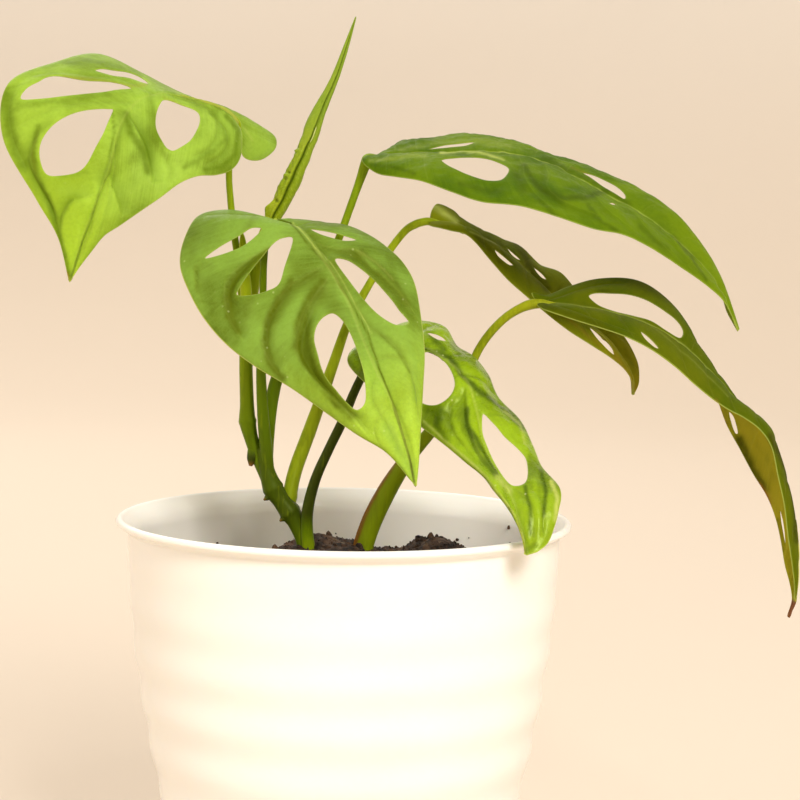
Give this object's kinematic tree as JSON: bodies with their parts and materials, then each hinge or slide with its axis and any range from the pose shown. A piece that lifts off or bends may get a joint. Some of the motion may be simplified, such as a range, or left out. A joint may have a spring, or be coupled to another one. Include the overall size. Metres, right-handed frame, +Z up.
{
  "type": "monstera adansonii",
  "caption": "Young climbing aroid with pierced heart-shaped leaves on slim arching stalks, planted in a glossy tapered pot with shallow ripples.",
  "frame": {"origin": "centre of the pot's flat underside", "axes": "+Z up along the pot's axis, +X to the right and +Y away from the viewer in the front view"},
  "size_m": [0.2425, 0.14, 0.2778],
  "materials": {
    "pot": "glossy white with a soft ripple",
    "soil": "loose dark brown potting soil",
    "vine": "olive green living stem",
    "right_stem": "yellow green living stem",
    "leaf_rolled": "tender yellow green leaf, still rolled",
    "leaf_left": "young bright green leaf",
    "leaf_front": "quilted mid green leaf",
    "leaf_top_right": "grass green leaf",
    "leaf_back_right": "dark olive green leaf",
    "leaf_long_right": "dark green drooping leaf",
    "leaf_over_rim": "glossy blistered green leaf"
  },
  "bodies": {
    "root": {"pot": "pot", "soil": "soil", "vine": "vine", "right_stem": "right_stem", "leaf_rolled": "leaf_rolled", "leaf_left": "leaf_left", "leaf_front": "leaf_front", "leaf_top_right": "leaf_top_right", "leaf_back_right": "leaf_back_right", "leaf_long_right": "leaf_long_right", "leaf_over_rim": "leaf_over_rim"}
  },
  "joints": []
}
